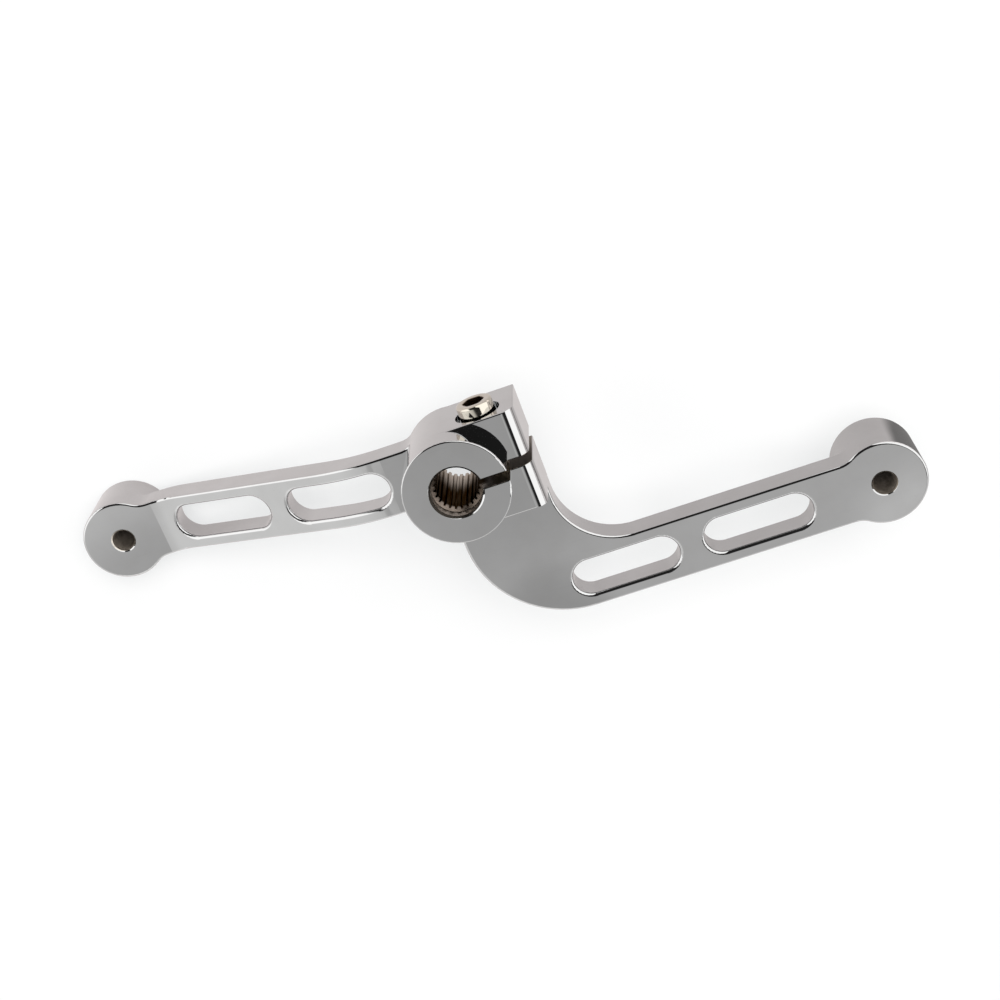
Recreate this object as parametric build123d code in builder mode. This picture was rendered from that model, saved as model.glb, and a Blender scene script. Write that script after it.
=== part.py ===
"""Heel and toe shift lever with a splined split-clamp hub.

The origin is on the bore axis at mid length of the hub.
+Z runs along the bore towards the face with the counterbore, +X runs along
the clamp slit and the heel arm, and +Y points to the head of the pinch bolt.
"""
import os
from math import acos, asin, atan2, cos, radians, sin, tan

from build123d import *

# Hub
HUB_DIA = 35.0
HUB_LENGTH = 32.5
HUB_RIM_ROUND = 0.5

# Splined bore
COUNTERBORE_DIA = 16.6
COUNTERBORE_DEPTH = 4.2
BORE_CHAMFER = 0.7
SPLINE_TEETH = 24
SPLINE_CREST_DIA = 13.9
SPLINE_ROOT_DIA = 15.4
SPLINE_CREST_SHARE = 0.46
SPLINE_ROOT_SHARE = 0.30
LEAD_IN_LENGTH = 1.3
SPLINE_CUT_OVERLAP = 0.5

# Clamp ears
EAR_REACH = 25.0
EAR_SETBACK = 8.4
EAR_CORNER_ROUND = 4.2
EAR_EDGE_ROUND = 0.5
EAR_LOWER_INSET = 0.6
SLIT_WIDTH = 3.2
SLIT_LIP = 0.3

# Pinch bolt and its seat
BOLT_X = 13.0
BOLT_SETBACK = 16.75
BOLT_DIA = 7.94
BOLT_LENGTH = 28.6
BOLT_POINT_CHAMFER = 1.0
HEAD_DIA = 11.9
HEAD_HEIGHT = 7.94
HEAD_ROUND = 0.6
SOCKET_FLATS = 6.35
SOCKET_DEPTH = 4.0
HEAD_SEAT_DIA = 15.0
HEAD_SEAT_DEPTH = 4.0
BOLT_SIDE_CLEARANCE = 0.25
THREAD_SIDE_CLEARANCE = 0.03

# Both arms
ARM_THICKNESS = 10.4
EDGE_ROUND = 0.8
SLOT_WIDTH = 12.5
SLOT_EDGE_ROUND = 1.1
BOSS_DIA = 28.8
BOSS_RIM_ROUND = 0.8
PEG_HOLE_DIA = 8.0
PEG_HOLE_CHAMFER = 0.4
BOSS_BLEND = 8.0

# Heel arm, dropped below the hub on a curved neck
HEEL_WIDTH = 21.1
HEEL_DROP = 52.45
HEEL_BOSS_X = 129.0
HEEL_BOSS_LENGTH = 23.3
HEEL_SLOT_LENGTH = 37.0
HEEL_SLOT_X = 40.3
HEEL_SLOT_WEB = 9.0
NECK_INNER_RADIUS = 22.0
NECK_OUTER_RADIUS = 34.4
NECK_LEFT_X = -8.0
NECK_BLEND = 4.0

# Toe arm, sloping back from the hub to its boss
TOE_WIDTH = 20.8
TOE_RISE = 0.8
TOE_BOSS_X = -127.5
TOE_BOSS_LENGTH = 21.7
TOE_SETBACK = 34.2
TOE_BEND_X = -35.6
TOE_BEND_END_X = -108.5
TOE_BEND_RADIUS = 54.0
TOE_FOOT_RADIUS = 20.0
TOE_SLOT_LENGTH = 37.2
TOE_SLOT_X = -42.5
TOE_SLOT_WEB = 7.6
TOE_BLEND = 7.0

# Largest shares of the hub's rim between toe arm and neck that the blends may take
TOE_BLEND_SHARE = 0.8
NECK_BLEND_SHARE = 0.45

# How far a cut runs on past a face, and how near an edge has to be to count as chosen
CUT_RUN_OUT = 1.0
CLOSE = 0.01

# Places that follow from the sizes above
hub_front_z = HUB_LENGTH / 2
hub_back_z = -HUB_LENGTH / 2
ear_front_z = hub_front_z - EAR_SETBACK
arm_front_z = hub_back_z + ARM_THICKNESS
toe_front_z = arm_front_z - TOE_SETBACK
bolt_z = hub_front_z - BOLT_SETBACK
ear_half = HUB_DIA / 2
head_seat_y = ear_half - HEAD_SEAT_DEPTH
heel_top_y = -HEEL_DROP + HEEL_WIDTH / 2
heel_bottom_y = -HEEL_DROP - HEEL_WIDTH / 2
heel_boss_back_z = arm_front_z - HEEL_BOSS_LENGTH
toe_boss_back_z = toe_front_z - TOE_BOSS_LENGTH
boss_radius = BOSS_DIA / 2
boss_inset = 1.5 * EDGE_ROUND
plan_reach = HEEL_DROP + BOSS_DIA
heel_slot_pitch = HEEL_SLOT_LENGTH + HEEL_SLOT_WEB
toe_slot_pitch = TOE_SLOT_LENGTH + TOE_SLOT_WEB
left_end_x = TOE_BOSS_X - BOSS_DIA
right_end_x = HEEL_BOSS_X + BOSS_DIA

# Both blends share the stretch of the hub's rim between the toe arm and the neck
toe_corner_angle = asin((TOE_WIDTH / 2 - TOE_RISE) / ear_half)
neck_corner_angle = acos(-NECK_LEFT_X / ear_half)
hub_gap = ear_half * (neck_corner_angle - toe_corner_angle)
toe_blend = min(TOE_BLEND, TOE_BLEND_SHARE * hub_gap)
neck_blend = min(NECK_BLEND, NECK_BLEND_SHARE * hub_gap)

os.makedirs("parts", exist_ok=True)


# Plan of hub, neck, arms and bosses, seen along the bore
with BuildSketch() as neck_plan:
    with BuildLine():
        neck_side = Line((EAR_REACH, ear_half), (EAR_REACH, heel_top_y + NECK_INNER_RADIUS))
        neck_inner = CenterArc(
            (EAR_REACH + NECK_INNER_RADIUS, heel_top_y + NECK_INNER_RADIUS),
            NECK_INNER_RADIUS, 180, 90)
        heel_top = Line(neck_inner @ 1, (HEEL_BOSS_X, heel_top_y))
        heel_end = Line(heel_top @ 1, (HEEL_BOSS_X, heel_bottom_y))
        heel_bottom = Line(heel_end @ 1, (NECK_LEFT_X + NECK_OUTER_RADIUS, heel_bottom_y))
        neck_outer = CenterArc(
            (NECK_LEFT_X + NECK_OUTER_RADIUS, heel_bottom_y + NECK_OUTER_RADIUS),
            NECK_OUTER_RADIUS, 270, -90)
        Polyline(neck_outer @ 1, (NECK_LEFT_X, 0), (0, 0), (0, ear_half), neck_side @ 0)
    make_face()

with BuildSketch() as arms_plan:
    Circle(HUB_DIA / 2)
    add(neck_plan.sketch)
    with Locations((TOE_BOSS_X / 2, TOE_RISE)):
        Rectangle(-TOE_BOSS_X, TOE_WIDTH)
    with Locations((TOE_BOSS_X, TOE_RISE), (HEEL_BOSS_X, -HEEL_DROP)):
        Circle(boss_radius)
    corners = arms_plan.vertices()
    boss_corners = corners.filter_by(
        lambda v: v.X < TOE_BOSS_X + boss_radius or v.X > HEEL_BOSS_X - boss_radius)
    fillet(boss_corners, BOSS_BLEND)
    toe_corners = arms_plan.vertices().filter_by(
        lambda v: -HUB_DIA / 2 < v.X < NECK_LEFT_X - CLOSE and abs(v.Y) < ear_half)
    fillet(toe_corners, toe_blend)
    neck_corner = arms_plan.vertices().filter_by(
        lambda v: abs(v.X - NECK_LEFT_X) < CLOSE and -HUB_DIA / 2 < v.Y < 0)
    fillet(neck_corner, neck_blend)
    ear_corner = arms_plan.vertices().filter_by(
        lambda v: v.Y > ear_half - CLOSE and v.X > EAR_REACH - CLOSE)
    fillet(ear_corner, EAR_EDGE_ROUND)

with BuildSketch() as slots_plan:
    with Locations((TOE_SLOT_X, TOE_RISE), (TOE_SLOT_X - toe_slot_pitch, TOE_RISE)):
        SlotOverall(TOE_SLOT_LENGTH, SLOT_WIDTH)
    with Locations((HEEL_SLOT_X, -HEEL_DROP), (HEEL_SLOT_X + heel_slot_pitch, -HEEL_DROP)):
        SlotOverall(HEEL_SLOT_LENGTH, SLOT_WIDTH)


# Side view of both arms: level at the heel, sloping back to the toe boss
bend_angle = atan2(TOE_SETBACK, TOE_BEND_X - TOE_BEND_END_X)
bend_shift = ARM_THICKNESS * tan(bend_angle / 2)
with BuildSketch(Plane.XZ) as arms_side:
    with BuildLine():
        front_line = FilletPolyline(
            (right_end_x, arm_front_z),
            (TOE_BEND_X, arm_front_z),
            (TOE_BEND_END_X, toe_front_z),
            (left_end_x, toe_front_z),
            radius=(TOE_BEND_RADIUS, TOE_FOOT_RADIUS))
        back_line = FilletPolyline(
            (left_end_x, toe_front_z - ARM_THICKNESS),
            (TOE_BEND_END_X + bend_shift, toe_front_z - ARM_THICKNESS),
            (TOE_BEND_X + bend_shift, hub_back_z),
            (right_end_x, hub_back_z),
            radius=(TOE_FOOT_RADIUS + ARM_THICKNESS, TOE_BEND_RADIUS - ARM_THICKNESS))
        Line(front_line @ 1, back_line @ 0)
        Line(back_line @ 1, front_line @ 0)
    make_face()


# Block of both clamp ears, tangent to the hub, with its edges rounded
with BuildPart() as ear_block:
    with BuildSketch(Plane.XY.offset(hub_back_z)) as ear_plan:
        with Locations((EAR_REACH / 2, EAR_LOWER_INSET / 2)):
            Rectangle(EAR_REACH, HUB_DIA - EAR_LOWER_INSET)
        fillet(ear_plan.vertices().group_by(Axis.X)[-1], EAR_EDGE_ROUND)
    extrude(amount=ear_front_z - hub_back_z)
    with BuildSketch(Plane.XZ) as ear_side:
        with Locations((EAR_REACH / 2, (ear_front_z + hub_back_z) / 2)):
            Rectangle(EAR_REACH, ear_front_z - hub_back_z)
        fillet(ear_side.vertices().group_by(Axis.X)[-1].sort_by(Axis.Y)[-1], EAR_CORNER_ROUND)
    extrude(amount=HUB_DIA, both=True, mode=Mode.INTERSECT)
    with BuildSketch(Plane.YZ) as ear_end:
        with Locations((EAR_LOWER_INSET / 2, (ear_front_z + hub_back_z) / 2)):
            RectangleRounded(HUB_DIA - EAR_LOWER_INSET, ear_front_z - hub_back_z, EAR_EDGE_ROUND)
    extrude(amount=EAR_REACH, mode=Mode.INTERSECT)


# One-piece lever: hub, clamp ears, neck, both arms and both bosses
with BuildPart() as lever_body:
    with BuildSketch(Plane.XY.offset(toe_boss_back_z)):
        add(arms_plan.sketch)
    extrude(amount=arm_front_z - toe_boss_back_z + CUT_RUN_OUT)
    with BuildSketch(Plane.XZ):
        add(arms_side.sketch)
    extrude(amount=plan_reach, both=True, mode=Mode.INTERSECT)

    front_faces = lever_body.faces().filter_by(lambda f: f.normal_at().Z > 0.5)
    back_faces = lever_body.faces().filter_by(lambda f: f.normal_at().Z < -0.5)
    flat_edges = front_faces.edges() + back_faces.edges()
    outline_edges = flat_edges.filter_by(Axis.Y, reverse=True)
    fillet(outline_edges, EDGE_ROUND)

    # Slots through both arms
    with BuildSketch(Plane.XY.offset(toe_boss_back_z)):
        add(slots_plan.sketch)
    extrude(amount=arm_front_z - toe_boss_back_z + CUT_RUN_OUT, mode=Mode.SUBTRACT)
    slot_rims = lever_body.edges(Select.LAST).filter_by(Axis.Z, reverse=True)
    fillet(slot_rims, SLOT_EDGE_ROUND)

    # Bosses carry on behind the arms
    with BuildSketch(Plane.XY.offset(toe_boss_back_z)):
        with Locations((TOE_BOSS_X, TOE_RISE)):
            Circle(boss_radius)
    extrude(amount=TOE_BOSS_LENGTH - boss_inset)
    with BuildSketch(Plane.XY.offset(heel_boss_back_z)):
        with Locations((HEEL_BOSS_X, -HEEL_DROP)):
            Circle(boss_radius)
    extrude(amount=HEEL_BOSS_LENGTH - boss_inset)
    toe_rim = lever_body.edges().filter_by(GeomType.CIRCLE).filter_by(
        lambda e: abs(e.center().Z - toe_boss_back_z) < CLOSE)
    heel_rim = lever_body.edges().filter_by(GeomType.CIRCLE).filter_by(
        lambda e: abs(e.center().Z - heel_boss_back_z) < CLOSE)
    fillet(toe_rim + heel_rim, BOSS_RIM_ROUND)

    # Hub and clamp ears
    with BuildSketch(Plane.XY.offset(hub_back_z)):
        Circle(HUB_DIA / 2)
    extrude(amount=HUB_LENGTH)
    add(ear_block.part)
    hub_rims = lever_body.edges().filter_by(GeomType.CIRCLE).filter_by(
        lambda e: abs(e.radius - HUB_DIA / 2) < CLOSE and abs(e.center().Z - hub_front_z) < CLOSE)
    fillet(hub_rims, HUB_RIM_ROUND)

    # Bore with counterbore, tapered lead-in and spline gaps
    with BuildSketch(Plane.XZ) as bore_section:
        with BuildLine():
            counterbore_radius = COUNTERBORE_DIA / 2
            crest_radius = SPLINE_CREST_DIA / 2
            counterbore_z = hub_front_z - COUNTERBORE_DEPTH
            Polyline(
                (0, hub_back_z - CUT_RUN_OUT),
                (crest_radius, hub_back_z - CUT_RUN_OUT),
                (crest_radius, counterbore_z - LEAD_IN_LENGTH),
                (counterbore_radius, counterbore_z),
                (counterbore_radius, hub_front_z - BORE_CHAMFER),
                (counterbore_radius + BORE_CHAMFER, hub_front_z),
                (counterbore_radius + BORE_CHAMFER, hub_front_z + CUT_RUN_OUT),
                (0, hub_front_z + CUT_RUN_OUT),
                (0, hub_back_z - CUT_RUN_OUT))
        make_face()
    revolve(axis=Axis.Z, mode=Mode.SUBTRACT)
    pitch_angle = 360 / SPLINE_TEETH
    mouth_half = radians(pitch_angle * (1 - SPLINE_CREST_SHARE) / 2)
    root_half = radians(pitch_angle * SPLINE_ROOT_SHARE / 2)
    root_radius = SPLINE_ROOT_DIA / 2
    inner_radius = crest_radius - SPLINE_CUT_OVERLAP
    with BuildSketch(Plane.XY.offset(hub_back_z - CUT_RUN_OUT)) as spline_gaps:
        with PolarLocations(0, SPLINE_TEETH, start_angle=pitch_angle / 2):
            Polygon(
                (inner_radius, -inner_radius * tan(mouth_half)),
                (crest_radius * cos(mouth_half), -crest_radius * sin(mouth_half)),
                (root_radius * cos(root_half), -root_radius * sin(root_half)),
                (root_radius * cos(root_half), root_radius * sin(root_half)),
                (crest_radius * cos(mouth_half), crest_radius * sin(mouth_half)),
                (inner_radius, inner_radius * tan(mouth_half)),
                align=None)
    extrude(amount=HUB_LENGTH - COUNTERBORE_DEPTH + CUT_RUN_OUT, mode=Mode.SUBTRACT)

    # Clamp slit through the ears into the bore
    with BuildSketch(Plane.XY.offset(hub_back_z - CUT_RUN_OUT)):
        with Locations(((EAR_REACH + CUT_RUN_OUT) / 2, 0)):
            Rectangle(EAR_REACH + CUT_RUN_OUT, SLIT_WIDTH)
    extrude(amount=HUB_LENGTH + 2 * CUT_RUN_OUT, mode=Mode.SUBTRACT)
    for lip_z, lip_x in ((hub_front_z, 0), (ear_front_z, HUB_DIA / 2)):
        with BuildSketch(Plane.YZ.offset(lip_x)):
            Polygon(
                (-SLIT_WIDTH / 2 - SLIT_LIP, lip_z),
                (-SLIT_WIDTH / 2, lip_z - SLIT_LIP),
                (SLIT_WIDTH / 2, lip_z - SLIT_LIP),
                (SLIT_WIDTH / 2 + SLIT_LIP, lip_z),
                align=None)
        extrude(amount=EAR_REACH, mode=Mode.SUBTRACT)
    with BuildSketch(Plane.XY.offset(hub_back_z - CUT_RUN_OUT)):
        Polygon(
            (EAR_REACH, -SLIT_WIDTH / 2 - SLIT_LIP),
            (EAR_REACH - SLIT_LIP, -SLIT_WIDTH / 2),
            (EAR_REACH - SLIT_LIP, SLIT_WIDTH / 2),
            (EAR_REACH, SLIT_WIDTH / 2 + SLIT_LIP),
            align=None)
    extrude(amount=HUB_LENGTH + 2 * CUT_RUN_OUT, mode=Mode.SUBTRACT)

    # Seat, clearance hole and threaded hole for the pinch bolt
    with BuildSketch(Plane.XZ.offset(-ear_half)):
        with Locations((BOLT_X, bolt_z)):
            Circle(HEAD_SEAT_DIA / 2)
    extrude(amount=HEAD_SEAT_DEPTH, mode=Mode.SUBTRACT)
    with BuildSketch(Plane.XZ.offset(-ear_half)):
        with Locations((BOLT_X, bolt_z)):
            Circle(BOLT_DIA / 2 + BOLT_SIDE_CLEARANCE)
    extrude(amount=ear_half, mode=Mode.SUBTRACT)
    with BuildSketch(Plane.XZ):
        with Locations((BOLT_X, bolt_z)):
            Circle(BOLT_DIA / 2 + THREAD_SIDE_CLEARANCE)
    extrude(amount=ear_half, mode=Mode.SUBTRACT)

    # Peg holes along both boss axes
    with BuildSketch(Plane.XY.offset(toe_boss_back_z - CUT_RUN_OUT)):
        with Locations((TOE_BOSS_X, TOE_RISE)):
            Circle(PEG_HOLE_DIA / 2)
    extrude(amount=TOE_BOSS_LENGTH + 2 * CUT_RUN_OUT, mode=Mode.SUBTRACT)
    with BuildSketch(Plane.XY.offset(heel_boss_back_z - CUT_RUN_OUT)):
        with Locations((HEEL_BOSS_X, -HEEL_DROP)):
            Circle(PEG_HOLE_DIA / 2)
    extrude(amount=HEEL_BOSS_LENGTH + 2 * CUT_RUN_OUT, mode=Mode.SUBTRACT)
    hole_rims = lever_body.edges().filter_by(GeomType.CIRCLE).filter_by(
        lambda e: abs(e.radius - PEG_HOLE_DIA / 2) < CLOSE and abs(e.center().X) > HUB_DIA)
    chamfer(hole_rims, PEG_HOLE_CHAMFER)
lever_body.part.label = "lever_body"
export_step(lever_body.part, "parts/lever_body.step")


# Socket head pinch bolt across the slit
with BuildPart() as pinch_bolt:
    with BuildSketch(Plane.XZ.offset(-head_seat_y)):
        with Locations((BOLT_X, bolt_z)):
            Circle(HEAD_DIA / 2)
    extrude(amount=-HEAD_HEIGHT)
    head_rim = pinch_bolt.edges().sort_by(Axis.Y)[-1]
    fillet(head_rim, HEAD_ROUND)
    with BuildSketch(Plane.XZ.offset(-head_seat_y - HEAD_HEIGHT)):
        with Locations((BOLT_X, bolt_z)):
            RegularPolygon(SOCKET_FLATS / 2, 6, major_radius=False)
    extrude(amount=SOCKET_DEPTH, mode=Mode.SUBTRACT)
    with BuildSketch(Plane.XZ.offset(-head_seat_y)):
        with Locations((BOLT_X, bolt_z)):
            Circle(BOLT_DIA / 2)
    extrude(amount=BOLT_LENGTH)
    point_rim = pinch_bolt.edges().sort_by(Axis.Y)[0]
    chamfer(point_rim, BOLT_POINT_CHAMFER)
pinch_bolt.part.label = "pinch_bolt"
export_step(pinch_bolt.part, "parts/pinch_bolt.step")
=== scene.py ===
"""Heel toe shift lever: finishes, threads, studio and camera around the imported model."""

from math import cos, pi, radians, sin

import bmesh
import bpy
from mathutils import Matrix, Vector


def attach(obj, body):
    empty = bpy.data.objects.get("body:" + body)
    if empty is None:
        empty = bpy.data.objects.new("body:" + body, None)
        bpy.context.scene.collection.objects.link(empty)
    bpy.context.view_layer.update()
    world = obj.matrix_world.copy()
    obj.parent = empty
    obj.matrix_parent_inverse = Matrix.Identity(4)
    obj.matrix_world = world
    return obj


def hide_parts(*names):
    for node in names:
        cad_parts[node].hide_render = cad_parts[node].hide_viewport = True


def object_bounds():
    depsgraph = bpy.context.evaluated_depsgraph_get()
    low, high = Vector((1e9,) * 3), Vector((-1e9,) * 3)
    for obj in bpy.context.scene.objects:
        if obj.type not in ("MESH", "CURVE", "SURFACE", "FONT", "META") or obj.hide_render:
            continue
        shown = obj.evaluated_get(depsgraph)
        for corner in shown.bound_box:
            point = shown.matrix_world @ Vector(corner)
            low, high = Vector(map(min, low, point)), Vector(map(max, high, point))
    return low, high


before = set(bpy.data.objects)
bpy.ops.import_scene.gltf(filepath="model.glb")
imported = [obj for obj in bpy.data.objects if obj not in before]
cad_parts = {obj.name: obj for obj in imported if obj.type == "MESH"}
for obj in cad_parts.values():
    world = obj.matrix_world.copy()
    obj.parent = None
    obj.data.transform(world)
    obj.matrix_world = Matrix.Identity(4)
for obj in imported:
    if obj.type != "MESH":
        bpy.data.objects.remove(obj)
cad_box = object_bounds()

MM = 0.001

# Camera, worked out from the round faces and straight edges in the photo
PHOTO_SIZE = 1000
FOCAL_PIXELS = 1726.4
SENSOR_WIDTH = 36.0
NEAR_CLIP = 0.01
CAMERA_PLACE = Vector((88.9, 192.3, 515.5)) * MM
CAMERA_RIGHT = Vector((0.9402, -0.3405, -0.0088))
CAMERA_UP = Vector((0.3098, 0.8657, -0.3931))

# Lever, as in the CAD
BORE_RADIUS = 8.3 * MM
SLIT_HALF = 1.6 * MM
EAR_REACH = 25.0 * MM
TOE_PEG = Vector((-127.5, 0.8)) * MM
HEEL_PEG = Vector((129.0, -52.45)) * MM
PEG_RADIUS = 4.0 * MM
PEG_CHAMFER = 0.4 * MM
TOE_FRONT = -40.05 * MM
TOE_BACK = -61.75 * MM
HEEL_FRONT = -5.85 * MM
HEEL_BACK = -29.15 * MM

# Pinch bolt, along Y
BOLT_AXIS = Vector((13.0, -0.5)) * MM
BOLT_TOP = 21.44 * MM
HEAD_HEIGHT = 7.94 * MM
HEAD_RADIUS = 5.95 * MM
HEAD_ROUND = 0.8 * MM
HEAD_ROUND_STEPS = 6
HEAD_FOOT = 0.3 * MM
SOCKET_FLATS = 6.35 * MM
SOCKET_MOUTH = 3.92 * MM
SOCKET_BEVEL = 0.15 * MM
SOCKET_DEPTH = 4.0 * MM
CONE_TIP_RADIUS = 0.2 * MM
CONE_DEPTH = 1.2 * MM
SHANK_RADIUS = 3.97 * MM
SHANK_LENGTH = 28.6 * MM
SHANK_FILLET = (0.15 * MM, 0.3 * MM)
PLAIN_SHANK = 8.0 * MM
POINT_LENGTH = 1.4 * MM
POINT_RADIUS = 2.9 * MM
BOLT_SEAT = BOLT_TOP - HEAD_HEIGHT
THREAD_TOP = BOLT_SEAT - PLAIN_SHANK

# Threads
BOLT_PITCH = 1.41 * MM
BOLT_THREAD_SHARE = 0.58
PEG_PITCH = 1.25 * MM
PEG_THREAD_SHARE = 0.30
PEG_THREAD_GAP = 0.005 * MM
PEG_THREAD_STEP = 0.02 * MM
FLANK_STEEPNESS = 1.25
CREST_FLAT = 0.12
RINGS_PER_TURN = 10
ROUND_STEPS = 72
SMOOTH_ANGLE = 35

# Edges of the bare metal, which lie a little off the centres of the holes: painted shade, which
# darkens one side of each chamfer and leaves chrome on the other side to glint
BORE_SHADE_SHIFT = Vector((-0.30, -0.13)) * MM
TOE_SHADE_SHIFT = Vector((-0.15, 0.12)) * MM
HEEL_SHADE_SHIFT = Vector((0.19, 0.04)) * MM
BORE_RIM = (BORE_RADIUS + 0.34 * MM, BORE_RADIUS + 0.42 * MM)
PEG_RIM = (PEG_RADIUS + 0.17 * MM, PEG_RADIUS + 0.23 * MM)
SLIT_RIM = (SLIT_HALF + 0.05 * MM, SLIT_HALF + 0.2 * MM)
SLIT_START = (0.0, 1.0 * MM)
SLIT_END = (EAR_REACH - 0.3 * MM, EAR_REACH - 0.1 * MM)

# Zones of the bore: the first along X, the others along Z
BORE_TO_SLIT = (8.4 * MM, 11.0 * MM)
# The far end zone is painted light: a pale tone that stands in for light coming through the bore
PAINTED_LIGHT_END = (-16.0 * MM, -1.0 * MM)
LEAD_IN = (10.6 * MM, 11.2 * MM)
DEEP_BORE = (11.6 * MM, 12.1 * MM)
COUNTERBORE = (12.2 * MM, 12.6 * MM)
LIP = (15.3 * MM, 15.5 * MM)

# Zones of the bolt: the socket's reach from the axis, the others along Y
SOCKET_WALL = (SOCKET_MOUTH - 0.02 * MM, SOCKET_MOUTH)
SOCKET_TOP = (BOLT_TOP - 0.12 * MM, BOLT_TOP - 0.04 * MM)
SOCKET_FOOT = (BOLT_SEAT, BOLT_SEAT + MM)
THREAD_ZONE = (THREAD_TOP, THREAD_TOP + MM)

# Colours of the finishes
WHITE = (1.0, 1.0, 1.0, 1.0)
CHROME_COLOUR = (0.556, 0.558, 0.562, 1.0)
CHROME_HAZE = (0.528, 0.528, 0.530, 1.0)
TEETH_DARK = (0.026, 0.020, 0.016, 1.0)
TEETH_LIGHT = (0.068, 0.053, 0.041, 1.0)
TEETH_SHEEN = (0.43, 0.40, 0.375, 1.0)
# Pale bore tone: painted light at the bore's far end, and the same pale tone on the counterbore
BORE_PALE_AND_PAINTED_LIGHT = (0.62, 0.57, 0.51, 1.0)
LEAD_IN_COLOUR = (0.20, 0.165, 0.14, 1.0)
# Painted shade: the bore's lip is coloured near black
LIP_PAINTED_SHADE = (0.03, 0.026, 0.022, 1.0)
SLIT_DARK = (0.13, 0.108, 0.086, 1.0)
SLIT_LIGHT = (0.19, 0.163, 0.134, 1.0)
THREAD_DARK = (0.10, 0.083, 0.066, 1.0)
THREAD_LIGHT = (0.16, 0.138, 0.116, 1.0)
NICKEL_COLOUR = (0.60, 0.56, 0.49, 1.0)
# Socket tone: brown duller metal, and also painted shade for the recess
SOCKET_BROWN_AND_SHADE = (0.14, 0.092, 0.062, 1.0)

# Polishing marks: scales are for the haze and the hairlines of each finish
CHROME_SCALES = (90.0, 900.0)
STEEL_SCALES = (500.0, 1500.0)
NICKEL_SCALES = (350.0, 1200.0)
WAVE_SCALE = 70.0
WAVE_DETAIL = 1.0
HAZE_DETAIL = 5.0
HAIRLINE_DETAIL = 2.0
HAIRLINE_TURN = (0.3, 0.2, 0.9)
HAIRLINE_STRETCH = (0.06, 1.0, 1.0)
HAIRLINE_RANGE = (0.62, 0.74)
HAIRLINE_HAZE = 0.25
HAIRLINE_HEIGHT = 0.02
HAZE_RANGE = (0.3, 0.75)
BUMP_DISTANCE = 0.02 * MM
CHROME_BUMP = 0.35
METAL_BUMP = 0.5

# Grime that runs along the bore
GRIME_STRETCH = (1.0, 1.0, 0.12)
GRIME_SCALE = 900.0
GRIME_DETAIL = 3.0
GRIME_RANGE = (0.35, 0.65)

# Roughness: each pair is for the low and the high end of a noise's range
NOISE_RANGE = (0.3, 0.7)
PLATE_ROUGHNESS = (0.012, 0.04)
BARE_ROUGHNESS = (0.30, 0.42)
STEEL_ROUGHNESS = (0.45, 0.60)
NICKEL_ROUGHNESS = (0.05, 0.12)
SOCKET_ROUGHER = 0.2
THREAD_ROUGHER = 0.12
STEEL_METALLIC = 0.6

# Floor: tones, then the painted reflections that only the chrome sees: a glow slanted across the
# floor, a patch of painted shade and a bright glowing patch
FLOOR_SIZE = 6.0
FLOOR_GAP = 0.2 * MM
FLOOR_TONE = (0.343, 0.332, 0.329, 1.0)
GRAIN_SCALE = 60.0
GRAIN_DETAIL = 3.0
FLOOR_ROUGHNESS = (0.4, 0.6)
CAMERA_LIFT = (0.505, 0.524, 0.530, 1.0)
# Painted reflection: the floor glows for the chrome, brighter at the left and dimmer at the right
MIRROR_LIFT = (0.270, 0.247, 0.245, 1.0)
MIRROR_SPAN = (-0.15, 0.16)
MIRROR_SLANT = (1.50, 0.75)
# Painted shade: a darker floor patch near the heel boss that only the chrome mirrors
MIRRORED_SHADE_TONE = (0.163, 0.158, 0.156, 1.0)
MIRRORED_SHADE_CENTRE = (0.190, -0.060)
MIRRORED_SHADE_FADE = (0.038, 0.052)
# Painted reflection: a bright glowing floor patch that only the chrome mirrors, with no lamp
# there
PAINTED_GLOW_CENTRE = (0.30, 0.10)
PAINTED_GLOW_FADE = (0.12, 0.14)
PAINTED_GLOW_STRENGTH = 3.5

# Room: each pair of numbers is where a ramp starts and ends, as a share of a direction
SKY_COLOUR = (1.0, 0.996, 0.984, 1.0)
ROOM_TONE = 0.655
LEFT_RAMP = (-0.10, -0.70)
LEFT_GLOW = 0.33
BACK_RAMP = (-0.5, -0.9)
BACK_TOP = (0.4, 0.7)
BACK_GLOW = 0.45
OPENING_AXIS = (0.42, 0.91, 0.0)
OPENING_RAMP = (-0.29, -0.19)
OPENING_FOOT = (0.10, 0.16)
OPENING_TONE = 0.025
RIGHT_PANEL_AXIS = (0.927, 0.375, 0.0)
RIGHT_PANEL_RAMP = (0.38, 0.42)
RIGHT_STRIP_RAMP = (0.40, 0.50)
RIGHT_STRIP_TOP = (0.12, 0.18)
LEFT_PANEL_RAMP = (-0.56, -0.46)
LEFT_PANEL_BACK = (-0.16, -0.02)
PANEL_TONE = 1.7

# Soft patches of the ceiling: direction, inner and outer half angles in degrees, change of tone
CEILING_PATCHES = (
    ((-0.142, -0.335, 0.932), 0.5, 6.0, -0.130),
    ((-0.133, -0.442, 0.887), 0.8, 2.6, -0.165),
    ((-0.336, -0.338, 0.879), 1.0, 3.2, -0.165),
    ((0.085, -0.452, 0.888), 0.6, 2.8, 0.160),
)

# Lamp
LAMP_PLACE = (0.20, 0.47, 1.25)
LAMP_AIM = (0, 0, 0)
LAMP_SIZE = 0.8
LAMP_POWER = 19.0


def add_node(tree, kind, **inputs):
    """Adds a node and sets the named inputs, each to a value or to another node's output."""
    node = tree.nodes.new(kind)
    for name, value in inputs.items():
        set_input(tree, node.inputs[name.replace("_", " ")], value)
    return node


def set_input(tree, socket, value):
    """Links an output to the socket, or sets its plain value."""
    if isinstance(value, bpy.types.NodeSocket):
        tree.links.new(value, socket)
    else:
        socket.default_value = value


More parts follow.
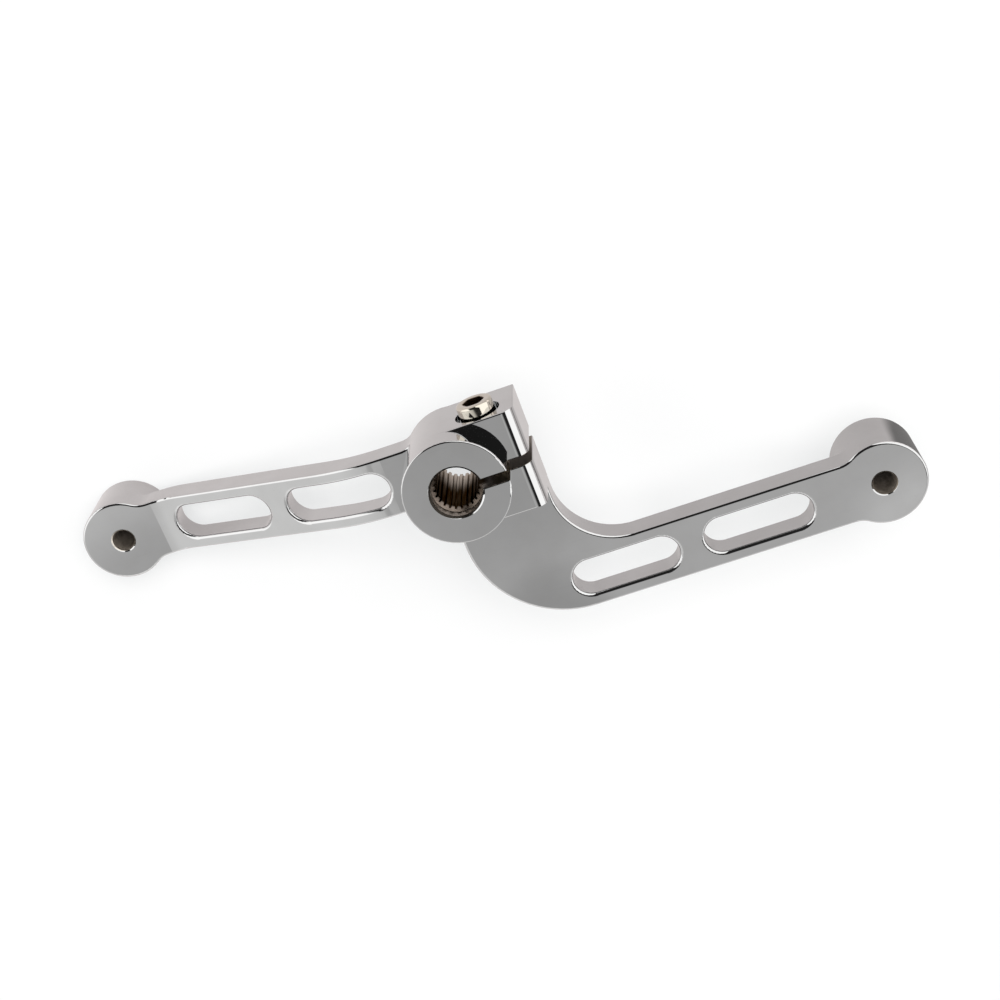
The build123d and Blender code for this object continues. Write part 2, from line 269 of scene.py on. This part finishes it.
def maths(tree, operation, *values, clamp=False):
    """Adds a Math node and gives its output."""
    node = tree.nodes.new("ShaderNodeMath")
    node.operation = operation
    node.use_clamp = clamp
    for socket, value in zip(node.inputs, values):
        set_input(tree, socket, value)
    return node.outputs[0]


def add_share(tree, tone, mask, amount):
    """Adds a mask's share of an amount to a tone."""
    return maths(tree, "ADD", tone, maths(tree, "MULTIPLY", mask, amount))


def smooth_step(tree, value, low, high, start=0.0, end=1.0):
    """Eases from start to end while the value goes from low to high."""
    node = tree.nodes.new("ShaderNodeMapRange")
    node.interpolation_type = "SMOOTHSTEP"
    set_input(tree, node.inputs["Value"], value)
    node.inputs["From Min"].default_value = low
    node.inputs["From Max"].default_value = high
    node.inputs["To Min"].default_value = start
    node.inputs["To Max"].default_value = end
    return node.outputs["Result"]


def fall(tree, value, inner, outer):
    """Gives 1 below inner and eases to 0 at outer."""
    return smooth_step(tree, value, inner, outer, 1.0, 0.0)


def both(tree, *masks):
    """Multiplies masks."""
    product = masks[0]
    for mask in masks[1:]:
        product = maths(tree, "MULTIPLY", product, mask)
    return product


def mix_tone(tree, mask, under, over):
    """Blends two values by a mask."""
    node = tree.nodes.new("ShaderNodeMix")
    node.data_type = "FLOAT"
    set_input(tree, node.inputs[0], mask)
    set_input(tree, node.inputs[2], under)
    set_input(tree, node.inputs[3], over)
    return node.outputs[0]


def mix_colour(tree, mask, under, over):
    """Blends two colours by a mask."""
    node = tree.nodes.new("ShaderNodeMix")
    node.data_type = "RGBA"
    set_input(tree, node.inputs[0], mask)
    set_input(tree, node.inputs[6], under)
    set_input(tree, node.inputs[7], over)
    return node.outputs[2]


def split(tree, vector):
    """Gives a vector's three values."""
    node = tree.nodes.new("ShaderNodeSeparateXYZ")
    tree.links.new(vector, node.inputs[0])
    return node.outputs


def stretch(tree, vector, scale, turn=(0.0, 0.0, 0.0)):
    """Turns and scales a texture's coordinates."""
    node = tree.nodes.new("ShaderNodeMapping")
    tree.links.new(vector, node.inputs["Vector"])
    node.inputs["Rotation"].default_value = turn
    node.inputs["Scale"].default_value = scale
    return node.outputs[0]


def distance_from(tree, first, second, centre):
    """Distance in a plane from a centre."""
    first_gap = maths(tree, "SUBTRACT", first, centre[0])
    second_gap = maths(tree, "SUBTRACT", second, centre[1])
    squares = maths(
        tree, "ADD",
        maths(tree, "MULTIPLY", first_gap, first_gap),
        maths(tree, "MULTIPLY", second_gap, second_gap))
    return maths(tree, "SQRT", squares)


def disc(tree, first, second, centre, rim):
    """Mask of a disc round a centre, which fades over the rim's two radii."""
    return fall(tree, distance_from(tree, first, second, centre), *rim)


def empty_material(name):
    """Makes a material with an empty node tree."""
    material = bpy.data.materials.new(name)
    material.use_nodes = True
    material.node_tree.nodes.clear()
    return material, material.node_tree


def close_material(tree, shader):
    """Joins the shader to the material's output."""
    output = tree.nodes.new("ShaderNodeOutputMaterial")
    tree.links.new(shader.outputs[0], output.inputs["Surface"])


def polish_group():
    """Marks that polishing leaves: soft haze, fine hairlines and faint waviness."""
    group = bpy.data.node_groups.new("polish_marks", "ShaderNodeTree")
    sockets = group.interface
    sockets.new_socket("Place", in_out="INPUT", socket_type="NodeSocketVector")
    sockets.new_socket("Haze Scale", in_out="INPUT", socket_type="NodeSocketFloat")
    sockets.new_socket("Hairline Scale", in_out="INPUT", socket_type="NodeSocketFloat")
    sockets.new_socket("Haze", in_out="OUTPUT", socket_type="NodeSocketFloat")
    sockets.new_socket("Height", in_out="OUTPUT", socket_type="NodeSocketFloat")
    entry = group.nodes.new("NodeGroupInput")
    leave = group.nodes.new("NodeGroupOutput")
    place = entry.outputs["Place"]
    haze = add_node(
        group, "ShaderNodeTexNoise",
        Vector=place, Scale=entry.outputs["Haze Scale"], Detail=HAZE_DETAIL)
    hairline = add_node(
        group, "ShaderNodeTexNoise",
        Vector=stretch(group, place, HAIRLINE_STRETCH, HAIRLINE_TURN),
        Scale=entry.outputs["Hairline Scale"], Detail=HAIRLINE_DETAIL)
    waves = add_node(
        group, "ShaderNodeTexNoise", Vector=place, Scale=WAVE_SCALE, Detail=WAVE_DETAIL)
    lines = smooth_step(group, hairline.outputs["Fac"], *HAIRLINE_RANGE)
    marks = maths(group, "MULTIPLY", lines, HAIRLINE_HAZE)
    hazy = smooth_step(group, haze.outputs["Fac"], *HAZE_RANGE)
    group.links.new(maths(group, "ADD", hazy, marks, clamp=True), leave.inputs["Haze"])
    height = add_share(group, waves.outputs["Fac"], lines, HAIRLINE_HEIGHT)
    group.links.new(height, leave.inputs["Height"])
    return group


def place_polish(tree, group, scales):
    """Places the polish group on object coordinates, and gives them, its haze and its height."""
    place = tree.nodes.new("ShaderNodeTexCoord").outputs["Object"]
    node = tree.nodes.new("ShaderNodeGroup")
    node.node_tree = group
    tree.links.new(place, node.inputs["Place"])
    node.inputs["Haze Scale"].default_value = scales[0]
    node.inputs["Hairline Scale"].default_value = scales[1]
    return place, node.outputs["Haze"], node.outputs["Height"]


def bump(tree, height, strength):
    """Turns a height into a normal."""
    node = add_node(
        tree, "ShaderNodeBump", Strength=strength, Distance=BUMP_DISTANCE, Height=height)
    return node.outputs["Normal"]


def cut_mask(tree, x, y):
    """Mask of the bore, the slit and both peg holes, where the metal shows no bright plate. Its
    rims sit off the holes' centres, so the bare metal paints shade over one side of each chamfer
    and leaves chrome to glint on the other.
    """
    slit = both(
        tree,
        fall(tree, maths(tree, "ABSOLUTE", y), *SLIT_RIM),
        smooth_step(tree, x, *SLIT_START),
        fall(tree, x, *SLIT_END))
    # The shifted discs paint shade on one side of each chamfer
    mask = maths(tree, "MAXIMUM", disc(tree, x, y, BORE_SHADE_SHIFT, BORE_RIM), slit)
    for peg in (TOE_PEG + TOE_SHADE_SHIFT, HEEL_PEG + HEEL_SHADE_SHIFT):
        mask = maths(tree, "MAXIMUM", mask, disc(tree, x, y, peg, PEG_RIM))
    return mask


def bare_colour(tree, grime, in_bore, z):
    """Brown of the slit and the peg holes, and the bore's zones from its far end, pale with
    painted light, to its lip, dark with painted shade.
    """
    grimy = smooth_step(tree, grime, *GRIME_RANGE)
    colour = mix_colour(
        tree, in_bore,
        mix_colour(tree, grimy, SLIT_DARK, SLIT_LIGHT),
        mix_colour(tree, grimy, TEETH_DARK, TEETH_LIGHT))
    # The far end's pale zone is painted light
    zones = (
        (fall(tree, z, *PAINTED_LIGHT_END), BORE_PALE_AND_PAINTED_LIGHT),
        (smooth_step(tree, z, *LEAD_IN), LEAD_IN_COLOUR),
        (smooth_step(tree, z, *COUNTERBORE), BORE_PALE_AND_PAINTED_LIGHT),
        # The lip's dark zone is painted shade
        (smooth_step(tree, z, *LIP), LIP_PAINTED_SHADE),
    )
    for zone, zone_colour in zones:
        colour = mix_colour(tree, both(tree, in_bore, zone), colour, zone_colour)
    return colour


def chrome_material(group):
    """Bright chrome plate, with brown metal in the bore, the slit and the peg holes, painted
    light at the bore's far end and painted shade on its lip and on one side of each chamfer.
    """
    material, tree = empty_material("polished_chrome")
    place, haze, height = place_polish(tree, group, CHROME_SCALES)
    x, y, z = split(tree, place)
    cut = cut_mask(tree, x, y)
    in_bore = fall(tree, x, *BORE_TO_SLIT)
    grime = add_node(
        tree, "ShaderNodeTexNoise",
        Vector=stretch(tree, place, GRIME_STRETCH),
        Scale=GRIME_SCALE, Detail=GRIME_DETAIL).outputs["Fac"]
    plate = mix_colour(tree, haze, CHROME_COLOUR, CHROME_HAZE)
    teeth = both(tree, cut, in_bore, fall(tree, z, *DEEP_BORE))
    shader = add_node(
        tree, "ShaderNodeBsdfPrincipled",
        Base_Color=mix_colour(tree, cut, plate, bare_colour(tree, grime, in_bore, z)),
        Metallic=1.0,
        Roughness=mix_tone(
            tree, cut,
            mix_tone(tree, haze, *PLATE_ROUGHNESS),
            smooth_step(tree, grime, *NOISE_RANGE, *BARE_ROUGHNESS)),
        Specular_Tint=mix_colour(tree, teeth, WHITE, TEETH_SHEEN),
        Normal=bump(tree, height, CHROME_BUMP))
    close_material(tree, shader)
    return material


def steel_material(group):
    """Dull brown cut steel of the peg threads."""
    material, tree = empty_material("cut_steel")
    _, haze, height = place_polish(tree, group, STEEL_SCALES)
    shader = add_node(
        tree, "ShaderNodeBsdfPrincipled",
        Base_Color=mix_colour(tree, haze, THREAD_DARK, THREAD_LIGHT),
        Metallic=STEEL_METALLIC,
        Roughness=mix_tone(tree, haze, *STEEL_ROUGHNESS),
        Normal=bump(tree, height, METAL_BUMP))
    close_material(tree, shader)
    return material


def nickel_material(group):
    """Warm bright nickel plate of the pinch bolt, dark brown and duller in the socket, where the
    dark brown also paints in the recess's shade.
    """
    material, tree = empty_material("bright_nickel")
    place, haze, height = place_polish(tree, group, NICKEL_SCALES)
    x, y, z = split(tree, place)
    socket = both(
        tree,
        disc(tree, x, z, BOLT_AXIS, SOCKET_WALL),
        fall(tree, y, *SOCKET_TOP),
        smooth_step(tree, y, *SOCKET_FOOT))
    roughness = mix_tone(tree, haze, *NICKEL_ROUGHNESS)
    roughness = add_share(tree, roughness, socket, SOCKET_ROUGHER)
    roughness = add_share(tree, roughness, fall(tree, y, *THREAD_ZONE), THREAD_ROUGHER)
    shader = add_node(
        tree, "ShaderNodeBsdfPrincipled",
        Base_Color=mix_colour(tree, socket, NICKEL_COLOUR, SOCKET_BROWN_AND_SHADE),
        Metallic=1.0,
        Roughness=roughness,
        Normal=bump(tree, height, METAL_BUMP))
    close_material(tree, shader)
    return material


def dress(node, material):
    """Gives a node of the model its material."""
    for material_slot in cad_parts[node].material_slots:
        material_slot.material = material


def ring_points(radius, height):
    """One ring of points around the local Z axis. The radius may be a function of the angle."""
    points = []
    for step in range(ROUND_STEPS):
        angle = 2 * pi * step / ROUND_STEPS
        reach = radius(angle) if callable(radius) else radius
        points.append((reach * cos(angle), reach * sin(angle), height))
    return points


def stack_rings(rings, closed=False):
    """Joins rings of points into a mesh. A closed stack joins its last ring to its first."""
    mesh = bmesh.new()
    rows = [
        [mesh.verts.new(point) for point in ring_points(radius, height)]
        for radius, height in rings]
    pairs = list(zip(rows, rows[1:]))
    if closed:
        pairs.append((rows[-1], rows[0]))
    else:
        mesh.faces.new(rows[0])
        mesh.faces.new(rows[-1])
    for lower, upper in pairs:
        for step in range(ROUND_STEPS):
            following = (step + 1) % ROUND_STEPS
            mesh.faces.new((lower[step], lower[following], upper[following], upper[step]))
    bmesh.ops.recalc_face_normals(mesh, faces=mesh.faces)
    return mesh


def thread_radius(crest, depth, pitch, height):
    """Radius round a thread at one height: a helix of straight flanks."""
    def reach(angle):
        phase = (height / pitch - angle / (2 * pi)) % 1.0
        flank = abs(2 * phase - 1)
        return crest - depth * min(1.0, max(0.0, FLANK_STEEPNESS * flank - CREST_FLAT))
    return reach


def thread_rings(crest, depth, pitch, start, end, run_out):
    """Rings of a thread between two heights, with its depth easing out at both ends."""
    count = int((end - start) / pitch * RINGS_PER_TURN)
    rings = []
    for index in range(count + 1):
        height = start + (end - start) * index / count
        ease = min(1.0, (height - start) / run_out, (end - height) / run_out)
        rings.append((thread_radius(crest, depth * ease, pitch, height), height))
    return rings


def hex_radius(angle):
    """Reach of the socket's hexagon at an angle."""
    return SOCKET_FLATS / 2 / cos((angle % (pi / 3)) - pi / 6)


def finish_piece(name, mesh, material):
    """Turns a mesh into a piece of the lever that is smooth apart from its corners."""
    data = bpy.data.meshes.new(name)
    mesh.to_mesh(data)
    mesh.free()
    data.materials.append(material)
    data.shade_smooth()
    data.set_sharp_from_angle(angle=radians(SMOOTH_ANGLE))
    piece = bpy.data.objects.new(name, data)
    bpy.context.scene.collection.objects.link(piece)
    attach(piece, "root")
    return piece


def head_rings():
    """Profile of the bolt's head, from its seat over its rounded rim to the socket's mouth."""
    rings = [(HEAD_RADIUS - HEAD_FOOT, BOLT_SEAT), (HEAD_RADIUS, BOLT_SEAT + HEAD_FOOT)]
    for step in range(HEAD_ROUND_STEPS + 1):
        turn = pi / 2 * step / HEAD_ROUND_STEPS
        rings.append((
            HEAD_RADIUS - HEAD_ROUND * (1 - cos(turn)),
            BOLT_TOP - HEAD_ROUND * (1 - sin(turn))))
    rings.append((SOCKET_MOUTH, BOLT_TOP))
    return rings


def bolt_rings():
    """Profile of the pinch bolt along its axis, from its point to the bottom of its socket."""
    tip = BOLT_SEAT - SHANK_LENGTH
    depth = BOLT_PITCH * BOLT_THREAD_SHARE
    fillet_reach, fillet_length = SHANK_FILLET
    rings = [(POINT_RADIUS, tip)]
    rings += thread_rings(
        SHANK_RADIUS, depth, BOLT_PITCH, tip + POINT_LENGTH, THREAD_TOP, BOLT_PITCH)
    rings += [
        (SHANK_RADIUS, BOLT_SEAT - fillet_length),
        (SHANK_RADIUS + fillet_reach, BOLT_SEAT)]
    rings += head_rings()
    rings += [
        (hex_radius, BOLT_TOP - SOCKET_BEVEL),
        (hex_radius, BOLT_TOP - SOCKET_DEPTH),
        (CONE_TIP_RADIUS, BOLT_TOP - SOCKET_DEPTH - CONE_DEPTH)]
    return rings


def make_bolt(material):
    """Socket head pinch bolt with its hexagon and its thread, in place of the plain one."""
    mesh = stack_rings(bolt_rings())
    turn = Matrix.Rotation(radians(-90), 4, "X")
    bmesh.ops.transform(mesh, matrix=turn, verts=mesh.verts)
    shift = Matrix.Translation((BOLT_AXIS.x, 0, BOLT_AXIS.y))
    bmesh.ops.transform(mesh, matrix=shift, verts=mesh.verts)
    bolt = finish_piece("threaded_pinch_bolt", mesh, material)
    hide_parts("pinch_bolt")


def make_peg_thread(name, centre, front, back, material):
    """Thread that lines a peg hole."""
    start = back + PEG_CHAMFER
    end = front - PEG_CHAMFER
    wall = PEG_RADIUS - PEG_THREAD_GAP
    inner = thread_rings(
        wall - PEG_THREAD_STEP, PEG_PITCH * PEG_THREAD_SHARE, PEG_PITCH, start, end,
        PEG_PITCH / 2)
    mesh = stack_rings([(wall, start)] + inner + [(wall, end)], closed=True)
    bmesh.ops.translate(mesh, vec=(centre.x, centre.y, 0), verts=mesh.verts)
    piece = finish_piece(name, mesh, material)


def floor_material():
    """Pale floor that keeps the lever's shadow and is clear from below.

    The camera sees it lifted to white. The chrome sees painted reflections on it: a glow slanted
    in tone, one patch of painted shade and one bright glowing patch."""
    material, tree = empty_material("pale_floor")
    grain = add_node(tree, "ShaderNodeTexNoise", Scale=GRAIN_SCALE, Detail=GRAIN_DETAIL)
    path = tree.nodes.new("ShaderNodeLightPath")
    mirrored = path.outputs["Is Glossy Ray"]
    x, y, _ = split(tree, tree.nodes.new("ShaderNodeTexCoord").outputs["Object"])
    # Painted shade in the floor's reflection
    dark = both(tree, mirrored, disc(tree, x, y, MIRRORED_SHADE_CENTRE, MIRRORED_SHADE_FADE))
    paint = add_node(
        tree, "ShaderNodeBsdfDiffuse",
        Color=mix_colour(tree, dark, FLOOR_TONE, MIRRORED_SHADE_TONE),
        Roughness=smooth_step(tree, grain.outputs["Fac"], *NOISE_RANGE, *FLOOR_ROUGHNESS))
    camera_lift = add_node(
        tree, "ShaderNodeEmission", Color=CAMERA_LIFT, Strength=path.outputs["Is Camera Ray"])
    slant = mix_tone(tree, dark, smooth_step(tree, x, *MIRROR_SPAN, *MIRROR_SLANT), 0.0)
    # Painted reflection: bright glowing patch seen only by the chrome
    painted_glow_patch = disc(tree, x, y, PAINTED_GLOW_CENTRE, PAINTED_GLOW_FADE)
    # Painted reflection: a glow on the floor that only the chrome sees
    mirror_lift = add_node(
        tree, "ShaderNodeEmission", Color=MIRROR_LIFT,
        Strength=both(tree, mirrored, add_share(tree, slant, painted_glow_patch, PAINTED_GLOW_STRENGTH)))
    total = paint
    for lift in (camera_lift, mirror_lift):
        joined = tree.nodes.new("ShaderNodeAddShader")
        tree.links.new(total.outputs[0], joined.inputs[0])
        tree.links.new(lift.outputs[0], joined.inputs[1])
        total = joined
    clear = tree.nodes.new("ShaderNodeBsdfTransparent")
    backfacing = tree.nodes.new("ShaderNodeNewGeometry").outputs["Backfacing"]
    one_sided = tree.nodes.new("ShaderNodeMixShader")
    for socket, source in zip(one_sided.inputs, (backfacing, total.outputs[0], clear.outputs[0])):
        tree.links.new(source, socket)
    close_material(tree, one_sided)
    return material


def make_floor():
    """Lays the floor just under the lowest boss."""
    half = FLOOR_SIZE / 2
    height = cad_box[0].z - FLOOR_GAP
    corners = [
        (x, y, height) for x, y in ((-half, -half), (half, -half), (half, half), (-half, half))]
    mesh = bpy.data.meshes.new("floor")
    mesh.from_pydata(corners, [], [(0, 1, 2, 3)])
    mesh.materials.append(floor_material())
    floor = bpy.data.objects.new("floor", mesh)
    bpy.context.scene.collection.objects.link(floor)


def along(tree, direction, axis):
    """Share of a direction that lies along an axis."""
    node = tree.nodes.new("ShaderNodeVectorMath")
    node.operation = "DOT_PRODUCT"
    tree.links.new(direction, node.inputs[0])
    node.inputs[1].default_value = axis
    return node.outputs["Value"]


def lobe(tree, direction, axis, inner, outer):
    """Mask of a soft round patch of the room, by its half angles in degrees."""
    share = along(tree, direction, Vector(axis).normalized())
    return smooth_step(tree, share, cos(radians(outer)), cos(radians(inner)))


def room_tone(tree, direction, x, y, z):
    """Grey of the room: lighter at the left and the back, with soft patches on the ceiling."""
    left = smooth_step(tree, x, *LEFT_RAMP, 0.0, LEFT_GLOW)
    tone = maths(tree, "ADD", ROOM_TONE, left)
    for axis, inner, outer, change in CEILING_PATCHES:
        tone = add_share(tree, tone, lobe(tree, direction, axis, inner, outer), change)
    back = both(tree, smooth_step(tree, y, *BACK_RAMP), fall(tree, z, *BACK_TOP))
    return add_share(tree, tone, back, BACK_GLOW)


def opening_mask(tree, direction, z):
    """Mask of the room's dark open front, above the floor's edge."""
    facing = along(tree, direction, OPENING_AXIS)
    return both(
        tree, smooth_step(tree, facing, *OPENING_RAMP), smooth_step(tree, z, *OPENING_FOOT))


def panel_mask(tree, direction, x, y, z):
    """Mask of the white panels: one at each side, and a low strip at the right."""
    right_panel = smooth_step(tree, along(tree, direction, RIGHT_PANEL_AXIS), *RIGHT_PANEL_RAMP)
    left_panel = both(
        tree, fall(tree, x, *LEFT_PANEL_RAMP), smooth_step(tree, y, *LEFT_PANEL_BACK))
    right_strip = both(
        tree, smooth_step(tree, x, *RIGHT_STRIP_RAMP), fall(tree, z, *RIGHT_STRIP_TOP))
    panels = maths(tree, "MAXIMUM", left_panel, right_panel)
    return maths(tree, "MAXIMUM", right_strip, panels)


def make_world():
    """Grey room that the chrome mirrors, pure white where the camera sees it."""
    world = bpy.data.worlds.new("studio")
    bpy.context.scene.world = world
    world.use_nodes = True
    tree = world.node_tree
    tree.nodes.clear()
    direction = tree.nodes.new("ShaderNodeTexCoord").outputs["Generated"]
    seen = tree.nodes.new("ShaderNodeLightPath").outputs["Is Camera Ray"]
    x, y, z = split(tree, direction)
    tone = room_tone(tree, direction, x, y, z)
    tone = mix_tone(tree, opening_mask(tree, direction, z), tone, OPENING_TONE)
    tone = mix_tone(tree, panel_mask(tree, direction, x, y, z), tone, PANEL_TONE)
    background = add_node(
        tree, "ShaderNodeBackground",
        Color=mix_colour(tree, seen, SKY_COLOUR, WHITE),
        Strength=mix_tone(tree, seen, tone, 1.0))
    output = tree.nodes.new("ShaderNodeOutputWorld")
    tree.links.new(background.outputs[0], output.inputs["Surface"])


def make_lamp():
    """Hangs a soft lamp that lights the floor and the lever without showing in the chrome."""
    lamp = bpy.data.lights.new("front_lamp", "AREA")
    lamp.size = LAMP_SIZE
    lamp.energy = LAMP_POWER
    holder = bpy.data.objects.new("front_lamp", lamp)
    holder.location = LAMP_PLACE
    aim = Vector(LAMP_AIM) - Vector(LAMP_PLACE)
    holder.rotation_euler = aim.to_track_quat("-Z", "Y").to_euler()
    holder.visible_glossy = False
    bpy.context.scene.collection.objects.link(holder)


def make_camera():
    """Sets the camera at the photograph's viewing angle."""
    camera = bpy.data.cameras.new("camera")
    camera.sensor_width = SENSOR_WIDTH
    camera.lens = FOCAL_PIXELS / PHOTO_SIZE * SENSOR_WIDTH
    camera.clip_start = NEAR_CLIP
    holder = bpy.data.objects.new("camera", camera)
    right = CAMERA_RIGHT.normalized()
    back = right.cross(CAMERA_UP).normalized()
    up = back.cross(right)
    turn = Matrix((right, up, back)).transposed()
    holder.matrix_world = Matrix.Translation(CAMERA_PLACE) @ turn.to_4x4()
    bpy.context.scene.collection.objects.link(holder)
    bpy.context.scene.camera = holder


def main():
    """Dresses the model, then builds the studio and the camera."""
    bpy.context.scene.view_settings.view_transform = "Standard"
    polish = polish_group()
    dress("lever_body", chrome_material(polish))
    make_bolt(nickel_material(polish))
    cut_steel = steel_material(polish)
    make_peg_thread("toe_peg_thread", TOE_PEG, TOE_FRONT, TOE_BACK, cut_steel)
    make_peg_thread("heel_peg_thread", HEEL_PEG, HEEL_FRONT, HEEL_BACK, cut_steel)
    make_floor()
    make_world()
    make_lamp()
    make_camera()


main()
